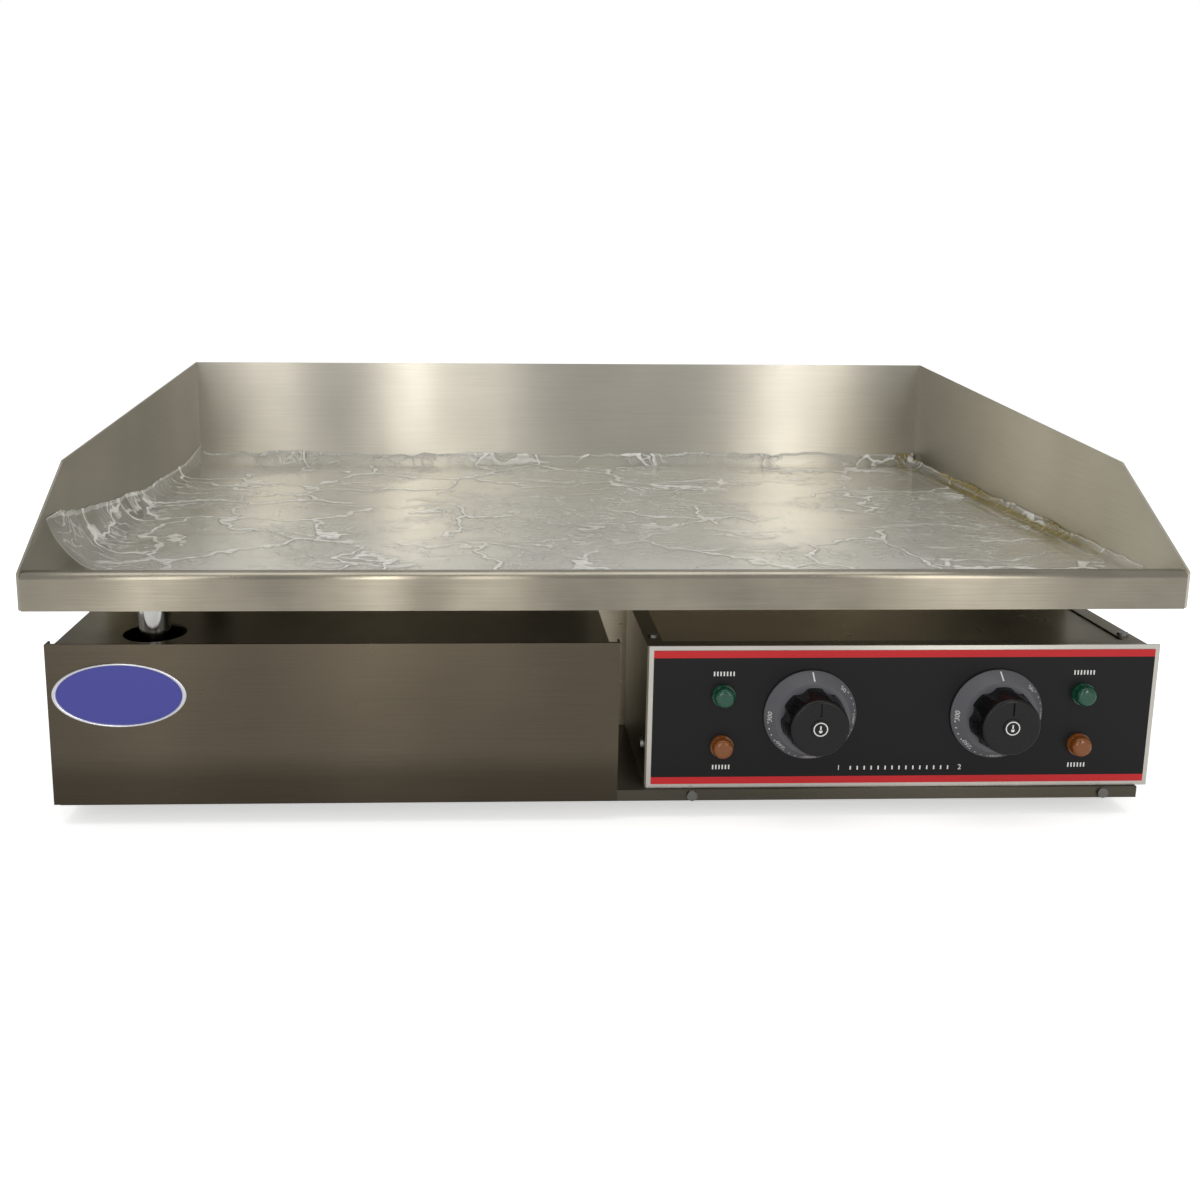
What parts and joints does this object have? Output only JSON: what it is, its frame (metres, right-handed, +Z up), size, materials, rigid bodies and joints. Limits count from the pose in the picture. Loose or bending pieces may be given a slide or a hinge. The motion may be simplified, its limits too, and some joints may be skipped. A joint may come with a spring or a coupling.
{
  "type": "flat top griddle",
  "caption": "Countertop electric flat top griddle: splash guards round a thick plate, grease drawer under the left side, control box with dials and pilot lamps under the right.",
  "frame": {"origin": "on the counter, below the middle of the griddle's outer box", "axes": "+Z up, +X to the cook's right across the long side, -Y towards the cook"},
  "size_m": [0.73, 0.5054, 0.256],
  "materials": {
    "brushed_stainless_guards": "brushed stainless sheet, lengthwise grain",
    "griddle_plate_steel": "ground steel cooking face",
    "brushed_stainless_case": "brushed stainless sheet",
    "drawer_tray_stainless": "plain stainless sheet",
    "zinc_plated_steel": "zinc plated steel",
    "screw_steel": "bright plated screws",
    "polished_chrome": "polished chrome plate",
    "blank_badge": "blue enamel plate with a pale rim, blank",
    "printed_black_face": "black printed film with red bands",
    "dial_grey_plastic": "satin dark grey moulding",
    "knob_black_plastic": "glossy black phenolic",
    "knob_cap_plastic": "glossy black with a white ring",
    "green_lens": "green tinted clear plastic",
    "amber_lens": "amber tinted clear plastic",
    "lamp_holder_plastic": "white nylon",
    "thermostat_ceramic": "steatite",
    "element_sheath": "oxidised steel sheath",
    "copper_sensor": "drawn copper",
    "mineral_wool": "pressed mineral wool",
    "wire_insulation": "silicone insulation",
    "gland_plastic": "black nylon",
    "brass_stud": "turned brass",
    "foot_rubber": "black rubber",
    "clear_film": "clear crinkled polythene film"
  },
  "bodies": {
    "chassis": {"back_guard": "brushed_stainless_guards", "back_panel": "brushed_stainless_case", "base_pan": "brushed_stainless_case", "body_shell": "brushed_stainless_case", "cable_gland": "gland_plastic", "case_screws": "screw_steel", "clamp_bars": "zinc_plated_steel", "clamp_nuts": "zinc_plated_steel", "control_box_cover": "brushed_stainless_case", "control_box_shell": "brushed_stainless_case", "control_panel": "brushed_stainless_case", "drain_tube": "polished_chrome", "drawer_bay_cover": "brushed_stainless_case", "earth_stud": "brass_stud", "foot_front_left": "foot_rubber", "foot_front_right": "foot_rubber", "foot_rear_left": "foot_rubber", "foot_rear_right": "foot_rubber", "front_lip": "brushed_stainless_guards", "gland_nut": "gland_plastic", "grease_gutter": "brushed_stainless_guards", "griddle_plate": "griddle_plate_steel", "heat_shield": "zinc_plated_steel", "heater_wires": "wire_insulation", "insulation_blanket": "mineral_wool", "lamp_holders": "lamp_holder_plastic", "lamp_nuts": "zinc_plated_steel", "left_element": "element_sheath", "left_guard": "brushed_stainless_guards", "left_heat_lens": "amber_lens", "left_power_lens": "green_lens", "left_runner": "zinc_plated_steel", "left_sensor": "copper_sensor", "left_thermostat": "thermostat_ceramic", "panel_overlay": "printed_black_face", "plate_cutouts": "thermostat_ceramic", "plate_studs": "zinc_plated_steel", "protective_film": "clear_film", "right_element": "element_sheath", "right_guard": "brushed_stainless_guards", "right_heat_lens": "amber_lens", "right_power_lens": "green_lens", "right_runner": "zinc_plated_steel", "right_sensor": "copper_sensor", "right_thermostat": "thermostat_ceramic", "supply_wires": "wire_insulation", "terminal_block": "thermostat_ceramic", "terminal_screws": "screw_steel", "thermostat_screws": "screw_steel"},
    "drawer": {"drawer_front": "brushed_stainless_case", "drawer_tray": "drawer_tray_stainless", "badge_plate": "blank_badge"},
    "left_knob": {"left_spindle": "zinc_plated_steel", "left_dial_skirt": "dial_grey_plastic", "left_knob_grip": "knob_black_plastic", "left_knob_cap": "knob_cap_plastic"},
    "right_knob": {"right_spindle": "zinc_plated_steel", "right_dial_skirt": "dial_grey_plastic", "right_knob_grip": "knob_black_plastic", "right_knob_cap": "knob_cap_plastic"}
  },
  "joints": [
    {"name": "drawer_slide", "type": "slide", "parent": "chassis", "child": "drawer", "axis": [0, -1, 0], "range_m": [0, 0.095]},
    {"name": "left_knob_turn", "type": "hinge", "parent": "chassis", "child": "left_knob", "pos_m": [0.131, -0.2263, 0.0705], "axis": [0, -1, 0], "range_deg": [0, 270]},
    {"name": "right_knob_turn", "type": "hinge", "parent": "chassis", "child": "right_knob", "pos_m": [0.253, -0.2263, 0.0705], "axis": [0, -1, 0], "range_deg": [0, 270]}
  ]
}
